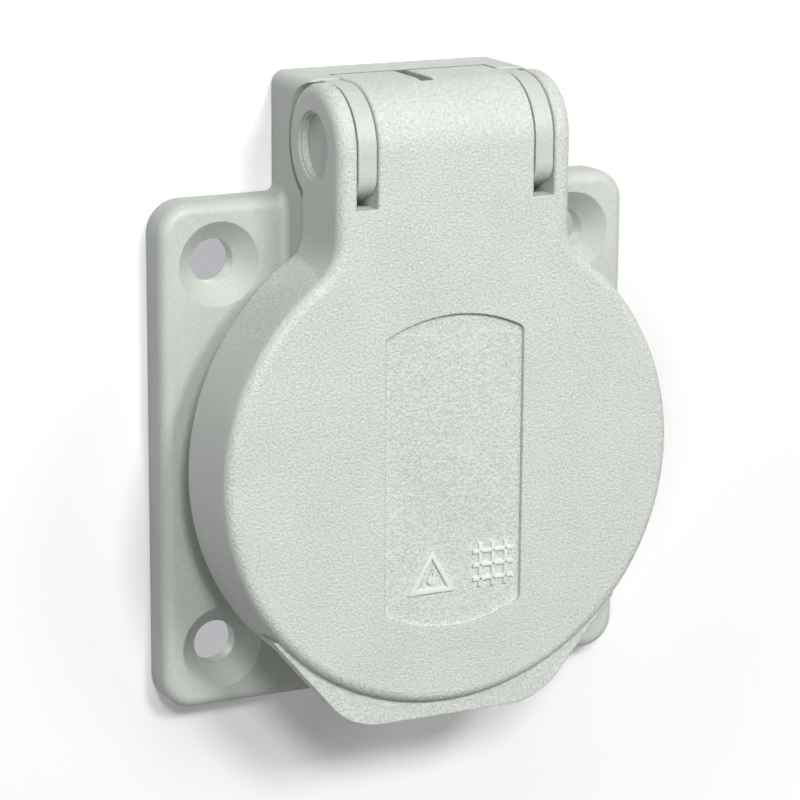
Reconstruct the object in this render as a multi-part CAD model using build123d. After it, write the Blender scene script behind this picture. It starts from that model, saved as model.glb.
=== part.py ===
from build123d import *
import os
from math import cos, hypot, pi, radians, sin, sqrt

# A panel-mounting earthed socket outlet with a sprung hinged lid. Millimetres, +Z up, the face
# towards -Y. The origin is the centre of the flange's back face, which lies in the plane Y = 0.

# Clearances between pieces: fitted, running, and beside the knuckle arms
FIT = 0.05
RUN = 0.3
ARM_GAP = 0.15

# The moulded housing
FLANGE_MARGIN = 0.7
FLANGE_DEPTH = 3.5
FLANGE_CORNER_R = 3.2
FLANGE_EDGE_R = 1.2
HOLE_INSET = 6.0
HOLE_R = 2.15
COUNTERSINK_R = 4.1
WELL_R = 19.75
WELL_DEPTH = 17.5
WELL_RISE = 12.0
COLLAR_WALL = 1.45
COLLAR_EDGE_R = 0.4
FLOOR_DEPTH = 2.5
FUNNEL_R = 3.5
RIB_RISE = 1.95
RIB_HALF = 2.3
BARREL_WALL = 1.1
BARREL_LAP = 4.0
GROOVE_INSET = 0.7
GROOVE_WIDTH = 2.0
GROOVE_DEPTH = 1.0

# The hinge, whose axis runs along X
AXIS_RISE = 7.2
HINGE_R = 5.8
JOURNAL_R = 3.0
JOURNAL_SUNK = 0.9
SPIGOT_R = 2.0
SPIGOT_END = 1.6
BLOCK_HALF = 12.0
BLOCK_TOP_R = 1.3
BLOCK_BLEND_R = 0.8
ARM_INNER = 8.3
ARM_OUTER = 10.15
ARM_DROP = 4.3
ARM_HEEL_R = 2.0
ARM_SUNK = 0.15
HOOD_WALL = 1.8
HOOD_REACH = 4.5
HOOD_SLOT_X = -1.0
HOOD_SLOT_WIDTH = 1.4
CHEEK_INNER = 6.4
COIL_R = 2.75
COIL_TURNS = 6
COIL_PITCH = 0.95
WIRE_R = 0.35
BACK_LEG = 8.3
FRONT_LEG = 2.2

# The lid
LID_LIFT = 1.4
LID_WALL = 2.2
LID_DEPTH = 8.1
LID_FLARE = 0.4
LID_EDGE_R = 1.1
SKIRT_GAP = 0.6
SKIRT_WALL = 1.8
NECK_HALF = 12.2
NECK_BLEND_R = 4.5
NECK_WALL = 1.2
SLOT_DROP = 5.3
SLOT_EDGE_R = 0.3
WINDOW_HALF = 7.3
WINDOW_R = 15.4
WINDOW_DEPTH = 0.4
WINDOW_CORNER_R = 0.8
WINDOW_DROP = 0.5
LIP_SLOPE = 50.0
LIP_PROUD = 0.2
LIP_STEP = 1.1
LIP_DEPTH = 3.0
LIP_CORNER_R = 7.0
SEAL_WIDTH = 2.1
SEAL_SUNK = 0.5

# The contacts, on the spacings of the earthed two-pin plug
PIN_SPACING = 19.0
PLUG_PIN_R = 2.4
ENTRY_GAP = 0.4
SLEEVE_SUNK = 1.2
EARTH_REACH = 15.9
EARTH_HALF = 3.3
CLIP_GAP = 0.65
SHEET = 0.8
BEND_R = 1.2
STRAP_DEPTH = 1.2
STRAP_HALF = 3.5
STRAP_END = 3.9

# The carrier of the contacts, its screws and its cover
CARRIER_STEP = 0.65
CARRIER_DEPTH = 11.0
CHAMBER_R = 4.0
CORE_WALL = 1.4
CORE_WIDTH = 3.2
CORE_DEPTH = 5.5
RIM_DEPTH = 6.0
RIM_WALL = 1.5
BARRIER_WALL = 1.2
COVER_DEPTH = 2.0
COVER_EDGE_R = 0.9
DRIVER_R = 3.1
BAY_GAP = 0.9
WIRE_ENTRY_HALF = 2.5
CLAMP_GAP = 0.23
CLAMP_DEPTH = 1.0
CLAMP_LIP = 0.7
THREAD_R = 1.5
TERMINAL_SCREW = 7.8
CENTRE_SCREW = 8.0
CENTRE_HEAD_R = 2.85
POST_INSET = 2.0
POST_ANGLE = -34.0
POST_R = 2.6
COVER_THREAD_R = 1.05
COVER_SCREW = 10.5

# Places that follow from those sizes
PIN_AT = PIN_SPACING / 2
COLLAR_R = WELL_R + COLLAR_WALL
FLOOR_FRONT = WELL_DEPTH - WELL_RISE
FLOOR_BACK = FLOOR_FRONT + FLOOR_DEPTH
CARRIER_R = WELL_R + CARRIER_STEP
SPIGOT_BORE_R = CARRIER_R + FIT * 2
BARREL_R = SPIGOT_BORE_R + BARREL_WALL
GROOVE_R = BARREL_R + GROOVE_INSET
FLANGE_HALF = GROOVE_R + GROOVE_WIDTH + FLANGE_MARGIN
HOLE_AT = FLANGE_HALF - HOLE_INSET
LID_INNER = -WELL_RISE - LID_LIFT
LID_FRONT = LID_INNER - LID_WALL
LID_BACK = LID_FRONT + LID_DEPTH
LID_R = COLLAR_R + SKIRT_GAP + SKIRT_WALL
AXIS_Y = LID_FRONT + HINGE_R
AXIS_Z = LID_R + AXIS_RISE
HINGE_TOP = AXIS_Z + HINGE_R
HOOD_BACK = AXIS_Y + HOOD_REACH
SLOT_INNER = ARM_INNER - ARM_GAP
SLOT_OUTER = ARM_OUTER + ARM_GAP
SLOT_BOTTOM = AXIS_Z - SLOT_DROP
NECK_FLOOR = SLOT_BOTTOM - NECK_WALL
SEAL_R = (WELL_R + COLLAR_R - SEAL_WIDTH) / 2
SLEEVE_R = PLUG_PIN_R + FIT
SLEEVE_OUTER_R = SLEEVE_R + SHEET
CLIP_Z = WELL_R - CLIP_GAP - SHEET / 2
CARRIER_BACK = FLOOR_BACK + CARRIER_DEPTH
RIM_BACK = CARRIER_BACK + RIM_DEPTH
RIM_INNER = CARRIER_R - RIM_WALL
CORE_OUTER = CARRIER_R - CORE_WALL
CORE_INNER = CORE_OUTER - CORE_WIDTH
BARRIER_AT = STRAP_HALF + FIT * 4
BAY_START = BARRIER_AT + BARRIER_WALL + BAY_GAP
CLAMP_CORNER = (RIM_INNER - CLAMP_GAP) / sqrt(2)
TERMINAL_HEIGHT = (CLAMP_CORNER + BAY_START - PIN_AT / 2) / 1.5
CLAMP_HALF = TERMINAL_HEIGHT - BAY_START
EARTH_LEG_Z = TERMINAL_HEIGHT - STRAP_END
POST_X = (RIM_INNER - POST_INSET) * cos(radians(POST_ANGLE))
POST_Z = (RIM_INNER - POST_INSET) * sin(radians(POST_ANGLE))
COVER_BACK = RIM_BACK + COVER_DEPTH
CLAMP_FRONT = CARRIER_BACK + STRAP_DEPTH
CLAMP_BACK = CLAMP_FRONT + CLAMP_DEPTH
TERMINALS = {
    "line": (-PIN_AT, TERMINAL_HEIGHT),
    "neutral": (PIN_AT, TERMINAL_HEIGHT),
    "earth": (0.0, -TERMINAL_HEIGHT),
}
POSTS = {"left": (-POST_X, POST_Z), "right": (POST_X, POST_Z)}

# How far a cut runs past a face, and past the whole part
OVER = 1.0
BEYOND = FLANGE_HALF * 2


# Shapes that the pieces share

def slab(outline, back, front):
    """A flat piece: this outline of the XZ plane between two depths."""
    return extrude(Plane.XZ.offset(-back) * outline, amount=back - front)


def across(outline, start, end):
    """A piece of constant section: this outline of the YZ plane between two places in X."""
    return extrude(Plane.YZ.offset(start) * outline, amount=end - start)


def drum(radius, back, front, x=0.0, z=0.0):
    """A round piece along Y."""
    return slab(Pos(x, z) * Circle(radius), back, front)


def tube(outer, inner, back, front, x=0.0, z=0.0):
    """A round piece along Y with a round hole through it."""
    return slab(Pos(x, z) * (Circle(outer) - Circle(inner)), back, front)


def roller(radius, start, end):
    """A round piece along X on the hinge axis."""
    return across(Pos(AXIS_Y, AXIS_Z) * Circle(radius), start, end)


def rect(x0, x1, y0, y1):
    """A sketch's rectangle, given by its four sides."""
    return Pos((x0 + x1) / 2, (y0 + y1) / 2) * Rectangle(x1 - x0, y1 - y0)


def band(half, y0, y1, x=0.0):
    """A sketch's rectangle with its two upright sides evenly about x."""
    return rect(x - half, x + half, y0, y1)


def on_side(side, inner, outer):
    """The ends of a piece that lies between two distances on one side of the middle."""
    return sorted((side * inner, side * outer))


def turned(*points):
    """A piece turned about the Y axis from the radius and depth of each corner."""
    return revolve(make_face(Polyline(*points, close=True)), Axis.Y)


def edges_at(part, axis, level):
    """The edges that lie wholly at one level of an axis."""
    return part.edges().filter_by_position(axis, level - 0.01, level + 0.01)


# The moulded housing

def flange_plate():
    """The square plate, rounded along the edge of its face."""
    outline = RectangleRounded(FLANGE_HALF * 2, FLANGE_HALF * 2, FLANGE_CORNER_R)
    plate = slab(outline, 0, -FLANGE_DEPTH)
    return fillet(edges_at(plate, Axis.Y, -FLANGE_DEPTH), FLANGE_EDGE_R)


def fixing_hole():
    """The space of one countersunk screw, open to both sides of the flange."""
    cone_end = FLANGE_DEPTH - (COUNTERSINK_R - HOLE_R)
    return turned(
        (0, OVER),
        (HOLE_R, OVER),
        (HOLE_R, -cone_end),
        (COUNTERSINK_R, -FLANGE_DEPTH),
        (COUNTERSINK_R, -FLANGE_DEPTH - OVER),
        (0, -FLANGE_DEPTH - OVER),
    )


def leg_x(reach):
    """Where the spring's back leg stands in X this far behind the axis: it leans with the coil."""
    start = HOOD_SLOT_X + HOOD_SLOT_WIDTH / 5
    return start - COIL_PITCH * reach / (2 * pi * COIL_R)


def spring_anchor():
    """The blind hole in the block that the spring's back leg rests in."""
    half = WIRE_R + ARM_GAP
    middle = AXIS_Z - COIL_R
    hole = band(half, middle - half, middle + half, leg_x(BACK_LEG))
    return slab(hole, AXIS_Y + BACK_LEG + ARM_GAP, AXIS_Y + HINGE_R)


def hinge_block():
    """The tongue over the flange, seated round the lid's ears and hollowed for its hood."""
    pocket_r = hypot(HOOD_REACH, HINGE_R) + RUN
    block = across(rect(LID_BACK + RUN, 0, 0, HINGE_TOP), -BLOCK_HALF, BLOCK_HALF)
    block = fillet(block.edges().filter_by(Axis.Y).group_by(Axis.Z)[-1], BLOCK_TOP_R)
    block -= roller(pocket_r, -ARM_INNER, ARM_INNER)
    for side in (-1, 1):
        block -= roller(HINGE_R + RUN, *on_side(side, ARM_OUTER, BLOCK_HALF + OVER))
    return block - spring_anchor()


def knuckle_arm(side):
    """One of the two arms that fill the lid's slots and carry the hinge pins."""
    front = AXIS_Y - HINGE_R + ARM_SUNK
    bottom = AXIS_Z - ARM_DROP
    root = -FLANGE_DEPTH
    toe = rect(front, root, bottom, AXIS_Z)
    toe = fillet(toe.vertices().sort_by_distance((front, bottom, 0))[0], ARM_HEEL_R)
    outline = Pos(AXIS_Y, AXIS_Z) * Circle(HINGE_R - ARM_SUNK)
    outline += toe + rect(AXIS_Y, root, AXIS_Z, HINGE_TOP - ARM_SUNK)
    return across(outline, *on_side(side, ARM_INNER, ARM_OUTER))


def floor_hole(wide_r, narrow_r):
    """A hole through the well's floor that narrows from its mouth at 45 degrees."""
    return turned(
        (0, FLOOR_FRONT - OVER),
        (wide_r, FLOOR_FRONT - OVER),
        (wide_r, FLOOR_FRONT),
        (narrow_r, FLOOR_FRONT + wide_r - narrow_r),
        (narrow_r, FLOOR_BACK + OVER),
        (0, FLOOR_BACK + OVER),
    )


def guide_rib(side):
    """A rib of the well's side that runs in the plug's notch."""
    front = RIB_HALF / 2 - WELL_RISE
    reach = WELL_R - RIB_RISE
    outline = rect(*on_side(side, reach, WELL_R + COLLAR_WALL / 2), -RIB_HALF, RIB_HALF)
    rib = slab(outline, FLOOR_BACK, front)
    return chamfer(edges_at(rib, Axis.X, side * reach).sort_by(Axis.Y)[0], COLLAR_WALL / 2)


def clip_slot(side):
    """The slot in the well's floor that one earth clip comes through."""
    low, high = on_side(side, CLIP_Z - BEND_R - RUN, CLIP_Z + SHEET / 2 + RUN)
    return slab(band(EARTH_HALF + RUN, low, high), FLOOR_BACK + OVER, FLOOR_FRONT - OVER)


def flange_housing():
    """Flange, collar, plug well, barrel and hinge block in one moulding."""
    body = flange_plate() + drum(COLLAR_R, 0, -WELL_RISE)
    body += drum(BARREL_R, FLOOR_BACK + BARREL_LAP, 0)
    body += hinge_block() + knuckle_arm(-1) + knuckle_arm(1)
    body -= drum(WELL_R, FLOOR_FRONT, -BEYOND)
    body -= drum(SPIGOT_BORE_R, BEYOND, FLOOR_BACK)
    body += guide_rib(-1) + guide_rib(1)
    body -= tube(GROOVE_R + GROOVE_WIDTH, GROOVE_R, OVER, -GROOVE_DEPTH)
    for x in (-HOLE_AT, HOLE_AT):
        for z in (-HOLE_AT, HOLE_AT):
            body -= Pos(x, 0, z) * fixing_hole()
    for side in (-1, 1):
        body -= Pos(side * PIN_AT, 0, 0) * floor_hole(FUNNEL_R, PLUG_PIN_R + ENTRY_GAP)
        body -= clip_slot(side)
        body -= roller(JOURNAL_R + FIT, *on_side(side, ARM_INNER - FIT, ARM_OUTER + FIT))
    body -= floor_hole(CENTRE_HEAD_R + FIT, THREAD_R + FIT * 2)
    base_corner = edges_at(body.edges().filter_by(Axis.Z), Axis.Y, -FLANGE_DEPTH)
    body = fillet(base_corner, BLOCK_BLEND_R)
    return fillet(edges_at(body, Axis.Y, -WELL_RISE), COLLAR_EDGE_R)


def panel_gasket():
    """The ring seal in the groove of the flange's back, drawn as pressed flat."""
    return tube(GROOVE_R + GROOVE_WIDTH - FIT, GROOVE_R + FIT, 0, -GROOVE_DEPTH)


# The lid

def lid_outline():
    """Round disc and straight neck, blended on both sides."""
    outline = Circle(LID_R) + rect(-NECK_HALF, NECK_HALF, 0, AXIS_Z)
    inner_corners = outline.vertices().group_by(Axis.Y)[-2]
    return fillet(inner_corners, NECK_BLEND_R)


def lift_lip():
    """The lip at the lid's foot: two straight flanks, a flat end and rounded corners."""
    reach = LID_R + LID_FLARE
    drop = FLANGE_HALF + LIP_PROUD
    slope = radians(LIP_SLOPE)
    flank = (reach * sin(slope), -reach * cos(slope))
    corner_x = (reach - drop * cos(slope)) / sin(slope)
    outline = make_face(Polyline(
        (-flank[0], flank[1]),
        (-corner_x, -drop),
        (corner_x, -drop),
        flank,
        close=True,
    ))
    outline = fillet(outline.vertices().group_by(Axis.Y)[0], LIP_CORNER_R)
    front = LID_FRONT + LIP_STEP
    return slab(outline, front + LIP_DEPTH, front)


def ear_rims(shell):
    """The round edges at the outer ends of the two ears."""
    rings = shell.edges().filter_by(GeomType.CIRCLE)
    return rings.filter_by(lambda edge: abs(abs(edge.center().X) - NECK_HALF) < 0.01)


def lid_shell():
    """The lid's outer form, solid, with its face edge rounded."""
    shell = slab(lid_outline(), LID_BACK, LID_FRONT) + roller(HINGE_R, -NECK_HALF, NECK_HALF)
    rim = edges_at(shell, Axis.Y, LID_FRONT).filter_by(lambda edge: edge.center().Z < AXIS_Z - FIT)
    shell = fillet(rim + ear_rims(shell), LID_EDGE_R)
    flare = turned(
        (0, LID_FRONT + LIP_STEP),
        (LID_R, LID_FRONT + LIP_STEP),
        (LID_R + LID_FLARE, LID_BACK),
        (0, LID_BACK),
    )
    return shell + flare


def hood_corner():
    """The part of the hood behind the axis, flush with the top of the block."""
    return across(rect(AXIS_Y, HOOD_BACK, AXIS_Z, HINGE_TOP), -SLOT_INNER, SLOT_INNER)


def hood_slot():
    """The slot in the hood's top that clears the spring's back leg when the lid is open."""
    low = AXIS_Z + HINGE_R / 3
    outline = band(HOOD_SLOT_WIDTH / 2, HOOD_BACK - HINGE_R, 0, HOOD_SLOT_X)
    return extrude(Plane.XY.offset(low) * outline, amount=BEYOND)


def spring_room():
    """The space in the hood that holds the coil, open to the back and below."""
    outline = Pos(AXIS_Y, AXIS_Z) * Circle(HINGE_R - HOOD_WALL)
    outline += rect(LID_INNER, 0, NECK_FLOOR, AXIS_Z)
    outline += rect(AXIS_Y, 0, AXIS_Z, HINGE_TOP - HOOD_WALL)
    return across(outline, -CHEEK_INNER, CHEEK_INNER)


def arm_slot(side):
    """The slot for one arm: open to the front over its foot, and wide open behind the wall."""
    outline = rect(-BEYOND, 0, SLOT_BOTTOM, HINGE_TOP + OVER)
    outline += rect(LID_INNER, 0, NECK_FLOOR, AXIS_Z)
    return across(outline, *on_side(side, SLOT_INNER, SLOT_OUTER))


def pin_bore(side):
    """The bore of one hinge pin through ear and cheek, eased at the ear's face."""
    ease = FIT * 5
    bore = roller(JOURNAL_R, *on_side(side, 0, NECK_HALF + OVER))
    return bore + roller(JOURNAL_R + ease, *on_side(side, NECK_HALF - ease, NECK_HALF + OVER))


def window():
    """The shallow panel in the lid's face: a round panel with two straight sides."""
    outline = Circle(WINDOW_R) & Rectangle(WINDOW_HALF * 2, WINDOW_R * 3)
    outline = Pos(0, -WINDOW_DROP) * fillet(outline.vertices(), WINDOW_CORNER_R)
    return slab(outline, LID_FRONT + WINDOW_DEPTH, LID_FRONT - OVER)


def slot_rims(body):
    """The outer edges of the arm slots, on the hood's sides and on the ears."""
    def on_slot(edge):
        beside = abs(edge.center().X)
        flat = edge.bounding_box().size.X < 0.01
        return flat and min(abs(beside - SLOT_INNER), abs(beside - SLOT_OUTER)) < 0.01

    def on_skin(edge):
        middle = edge @ 0.5
        reach = hypot(middle.Y - AXIS_Y, middle.Z - AXIS_Z)
        levels = (middle.Y - LID_FRONT, middle.Z - HINGE_TOP, reach - HINGE_R)
        return min(abs(level) for level in levels) < 0.01

    return body.edges().filter_by(on_slot).filter_by(on_skin)


def lid():
    """The moulded lid: disc, skirt, lip, neck, ears and hood."""
    body = lid_shell() + hood_corner() + lift_lip()
    body -= drum(LID_R - SKIRT_WALL, BEYOND, LID_INNER)
    body -= tube(SEAL_R + SEAL_WIDTH, SEAL_R, LID_INNER, LID_INNER - SEAL_SUNK)
    body -= spring_room()
    body -= arm_slot(-1) + arm_slot(1)
    body = fillet(slot_rims(body), SLOT_EDGE_R)
    body -= pin_bore(-1) + pin_bore(1)
    return body - window() - hood_slot()


def lid_gasket():
    """The ring seal in the lid, which closes on the collar's end."""
    return tube(SEAL_R + SEAL_WIDTH - FIT, SEAL_R + FIT, -WELL_RISE, LID_INNER - SEAL_SUNK)


def hinge_pin(side):
    """A moulded pin: a thick journal through ear and arm, and a spigot inside the coil."""
    journal = roller(JOURNAL_R - FIT / 2, *on_side(side, CHEEK_INNER, NECK_HALF - JOURNAL_SUNK))
    return journal + roller(SPIGOT_R, *on_side(side, SPIGOT_END, CHEEK_INNER))


def hinge_spring():
    """The torsion spring: coil, back leg in the block's anchor hole, front leg on the hood."""
    path = Helix(COIL_PITCH, COIL_PITCH * (COIL_TURNS + 0.25), COIL_R, direction=(1, 0, 0))
    first = Plane(origin=path @ 0, z_dir=path % 0) * Circle(WIRE_R)
    last = Plane(origin=path @ 1, z_dir=path % 1) * Circle(WIRE_R)
    wire = sweep(first, path=path) + extrude(first, amount=-BACK_LEG)
    wire += extrude(last, amount=FRONT_LEG)
    return Pos(leg_x(0), AXIS_Y, AXIS_Z) * mirror(wire, Plane.XY)


# The contacts

def pin_contact(side):
    """A contact: slit sleeve for the plug pin and a strap to its terminal, in one piece."""
    x = side * PIN_AT
    front = FLOOR_BACK + SLEEVE_SUNK
    slit_half = RUN
    slit_back = front + SLEEVE_OUTER_R * 2
    slits = band(SLEEVE_OUTER_R + OVER, -slit_half, slit_half, x)
    slits += band(slit_half, -SLEEVE_OUTER_R - OVER, SLEEVE_OUTER_R + OVER, x)
    body = tube(SLEEVE_OUTER_R, SLEEVE_R, CARRIER_BACK, front, x)
    body -= slab(slits, slit_back, front - OVER)
    strap = band(STRAP_HALF, -STRAP_HALF, TERMINAL_HEIGHT + STRAP_END, x)
    strap = fillet(strap.vertices(), STRAP_DEPTH)
    strap -= Pos(x, TERMINAL_HEIGHT) * Circle(THREAD_R)
    return body + slab(strap, CLAMP_FRONT, CARRIER_BACK)


def contact_spring(side):
    """The open steel ring that keeps the sleeve's fingers closed on the pin."""
    wall = 0.5
    width = 3.0
    gap_half = 0.9
    x = side * PIN_AT
    inner = SLEEVE_OUTER_R + FIT
    front = FLOOR_BACK + SLEEVE_SUNK * 2
    back = front + width
    ring = tube(inner + wall, inner, back, front, x)
    return ring - slab(band(gap_half, 0, inner + OVER, x), back + OVER, front - OVER)


def earth_clip():
    """The upper half of the bent strip: across the carrier, forward along the well, nose in."""
    flat = FLOOR_BACK + SHEET / 2
    lean_start = 4.5
    nose = 10.0
    end = 14.0
    path = FilletPolyline(
        (flat, -BEND_R),
        (flat, CLIP_Z),
        (FLOOR_FRONT - lean_start, CLIP_Z),
        (FLOOR_FRONT - nose, EARTH_REACH + SHEET / 2),
        (FLOOR_FRONT - end, CLIP_Z - SHEET / 2),
        radius=BEND_R,
    )
    return across(trace(path, SHEET), -EARTH_HALF, EARTH_HALF)


def earth_bracket():
    """The one-piece earth contact: two sprung clips, centre thread and terminal foot."""
    upper = earth_clip()
    body = upper + mirror(upper, Plane.XY)
    leg = band(EARTH_HALF, -EARTH_LEG_Z - SHEET, -EARTH_LEG_Z)
    body += slab(leg, CLAMP_FRONT, FLOOR_BACK)
    foot = band(EARTH_HALF, -TERMINAL_HEIGHT - STRAP_END, -EARTH_LEG_Z)
    foot -= Pos(TERMINALS["earth"]) * Circle(THREAD_R)
    body += slab(foot, CLAMP_FRONT, CARRIER_BACK)
    return body - drum(THREAD_R, FLOOR_BACK + SHEET + OVER, FLOOR_BACK - OVER)


# The carrier and its cover

def core_outs():
    """The ring of blind pockets in the carrier's front, with a rib between each two."""
    rib_width = 1.4
    ribs = 8
    ring = Circle(CORE_OUTER) - Circle(CORE_INNER)
    for index in range(ribs):
        rib = Pos(CARRIER_R, 0) * Rectangle((CARRIER_R - CORE_INNER) * 3, rib_width)
        ring -= Rot(0, 0, (index + 0.5) * 360 / ribs) * rib
    return slab(ring, FLOOR_BACK + CORE_DEPTH, FLOOR_BACK - OVER)


def barriers():
    """The walls between the terminal bays: one upright, one across under the two straps."""
    back = RIM_BACK - COVER_DEPTH / 2
    low = -BARRIER_AT
    upright = band(BARRIER_WALL / 2, low, RIM_INNER + RIM_WALL / 2)
    cross = band(RIM_INNER + RIM_WALL / 4, low - BARRIER_WALL, low) & Circle(CARRIER_R)
    return slab(upright + cross, back, CARRIER_BACK)


def wire_entries():
    """The three gaps in the rim that the wires come in through."""
    gaps = band(WIRE_ENTRY_HALF, -BEYOND, -TERMINAL_HEIGHT)
    for x in (-PIN_AT, PIN_AT):
        gaps += band(WIRE_ENTRY_HALF, TERMINAL_HEIGHT, BEYOND, x)
    return slab(gaps, RIM_BACK + OVER, CARRIER_BACK + STRAP_DEPTH / 2)


def earth_trench():
    """The room for the earth bracket: a trench along the front and a slot for its leg."""
    half = EARTH_HALF + RUN
    trench = band(half, -BEYOND, BEYOND) & Circle(CARRIER_R - BARRIER_WALL)
    leg_slot = band(half, -EARTH_LEG_Z - SHEET - RUN, -EARTH_LEG_Z + RUN)
    room = slab(trench, FLOOR_BACK + SHEET + FIT, FLOOR_BACK - OVER)
    return room + slab(leg_slot, BEYOND, FLOOR_BACK - OVER)


def contact_carrier():
    """The moulded base behind the floor: contact chambers, terminal bays and a wire rim."""
    tip_room = 1.0
    body = drum(CARRIER_R, CARRIER_BACK, FLOOR_BACK)
    body += tube(CARRIER_R, RIM_INNER, RIM_BACK, CARRIER_BACK)
    body += barriers()
    for x, z in POSTS.values():
        body += drum(POST_R, RIM_BACK, CARRIER_BACK, x, z)
        bottom = COVER_BACK - COVER_SCREW - tip_room
        body -= drum(COVER_THREAD_R, RIM_BACK + OVER, bottom, x, z)
    body -= earth_trench() + core_outs()
    for side in (-1, 1):
        body -= drum(CHAMBER_R, BEYOND, FLOOR_BACK - OVER, side * PIN_AT)
    for x, z in TERMINALS.values():
        bottom = CLAMP_BACK - TERMINAL_SCREW - tip_room
        body -= drum(THREAD_R + RUN, CARRIER_BACK + OVER, bottom, x, z)
    body -= drum(THREAD_R + RUN, FLOOR_FRONT + CENTRE_SCREW + tip_room, FLOOR_BACK - OVER)
    return body - wire_entries()


def clamp_plate(name):
    """The square plate under a terminal screw, its two sides turned up over the wire."""
    x, z = TERMINALS[name]
    half = CLAMP_HALF
    outline = rect(-half, half, CLAMP_FRONT, CLAMP_BACK)
    outline += rect(-half, CLAMP_LIP - half, CLAMP_FRONT, CLAMP_BACK + CLAMP_LIP)
    outline += rect(half - CLAMP_LIP, half, CLAMP_FRONT, CLAMP_BACK + CLAMP_LIP)
    plate = extrude(Plane.XY.offset(z - half) * (Pos(x, 0) * outline), amount=half * 2)
    return plate - drum(THREAD_R + RUN, BEYOND, 0, x, z)


def cross_recess(x, z, level, depth, reach):
    """The cut of a cross-slot driver in a screw head, from its face at this level."""
    half = reach / 5
    cross = band(reach, z - half, z + half, x) + band(half, z - reach, z + reach, x)
    return slab(cross, *sorted((level, level + depth), reverse=True))


def pan_screw(place, shank_r, head_r, head_depth, seat, length):
    """A pan-head screw driven from behind: its head on the seat, its shank to the front."""
    x, z = place
    top = seat + head_depth
    tip = seat - length
    head = drum(head_r, top, seat, x, z)
    head = fillet(edges_at(head, Axis.Y, top), head_depth * 0.4)
    shank = drum(shank_r, seat, tip, x, z)
    shank = chamfer(edges_at(shank, Axis.Y, tip), shank_r * 0.3)
    return head + shank - cross_recess(x, z, top, -head_depth * 0.55, head_r * 0.62)


def terminal_screw(name):
    """One of the three wire screws, whose head fits between the clamp plate's turned-up sides."""
    head_r = CLAMP_HALF - CLAMP_LIP - FIT * 4
    head_depth = 2.0
    shank_r = THREAD_R - FIT
    return pan_screw(TERMINALS[name], shank_r, head_r, head_depth, CLAMP_BACK, TERMINAL_SCREW)


def cover_screw(name):
    """One of the two screws of the rear cover."""
    head_r = 2.3
    head_depth = 1.5
    shank_r = COVER_THREAD_R - FIT / 2
    return pan_screw(POSTS[name], shank_r, head_r, head_depth, COVER_BACK, COVER_SCREW)


def centre_screw():
    """The countersunk screw in the middle of the well's floor."""
    shank_r = THREAD_R - FIT
    tip = FLOOR_FRONT + CENTRE_SCREW
    screw = turned(
        (0, FLOOR_FRONT),
        (CENTRE_HEAD_R, FLOOR_FRONT),
        (shank_r, FLOOR_FRONT + CENTRE_HEAD_R - shank_r),
        (shank_r, tip),
        (0, tip),
    )
    return screw - cross_recess(0, 0, FLOOR_FRONT, 0.9, CENTRE_HEAD_R * 0.62)


def rear_cover():
    """The touch guard behind the terminals, with a driver hole over each screw."""
    lip = 0.9
    lip_outer = RIM_INNER - FIT
    front = RIM_BACK - lip
    cover = drum(CARRIER_R, COVER_BACK, RIM_BACK)
    cover = fillet(edges_at(cover, Axis.Y, COVER_BACK), COVER_EDGE_R)
    cover += tube(lip_outer, lip_outer - lip, RIM_BACK, front)
    for x, z in TERMINALS.values():
        cover -= drum(DRIVER_R, BEYOND, front, x, z)
    for x, z in POSTS.values():
        cover -= drum(POST_R + FIT, RIM_BACK, front - OVER, x, z)
        cover -= drum(COVER_THREAD_R + FIT * 2, BEYOND, front, x, z)
    return cover


def pieces():
    """Every node and its solid."""
    made = {
        "flange_housing": flange_housing(),
        "panel_gasket": panel_gasket(),
        "contact_carrier": contact_carrier(),
        "rear_cover": rear_cover(),
        "earth_bracket": earth_bracket(),
        "centre_screw": centre_screw(),
        "hinge_spring": hinge_spring(),
        "lid": lid(),
        "lid_gasket": lid_gasket(),
    }
    for name, side in (("line", -1), ("neutral", 1)):
        made["contact_" + name] = pin_contact(side)
        made["contact_spring_" + name] = contact_spring(side)
    for name in TERMINALS:
        made["terminal_screw_" + name] = terminal_screw(name)
        made["clamp_plate_" + name] = clamp_plate(name)
    for name in POSTS:
        made["cover_screw_" + name] = cover_screw(name)
    for name, side in (("left", -1), ("right", 1)):
        made["hinge_pin_" + name] = hinge_pin(side)
    return made


os.makedirs("parts", exist_ok=True)
for node, shape in pieces().items():
    export_step(shape, "parts/" + node + ".step")
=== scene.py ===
"""Shows a panel-mounting socket outlet with a sprung hinged lid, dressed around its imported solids.

Every length is written in millimetres and turned to metres where a mesh or a node takes it. The
face points along -Y, the hinge is at the top, and the flange's back lies in the plane Y = 0.
"""

import logging
from collections.abc import Mapping, Sequence
from dataclasses import dataclass
from enum import Enum
from itertools import chain
from math import cos, pi, radians, sin

import bmesh
import bpy
from mathutils import Matrix, Quaternion, Vector

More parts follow.
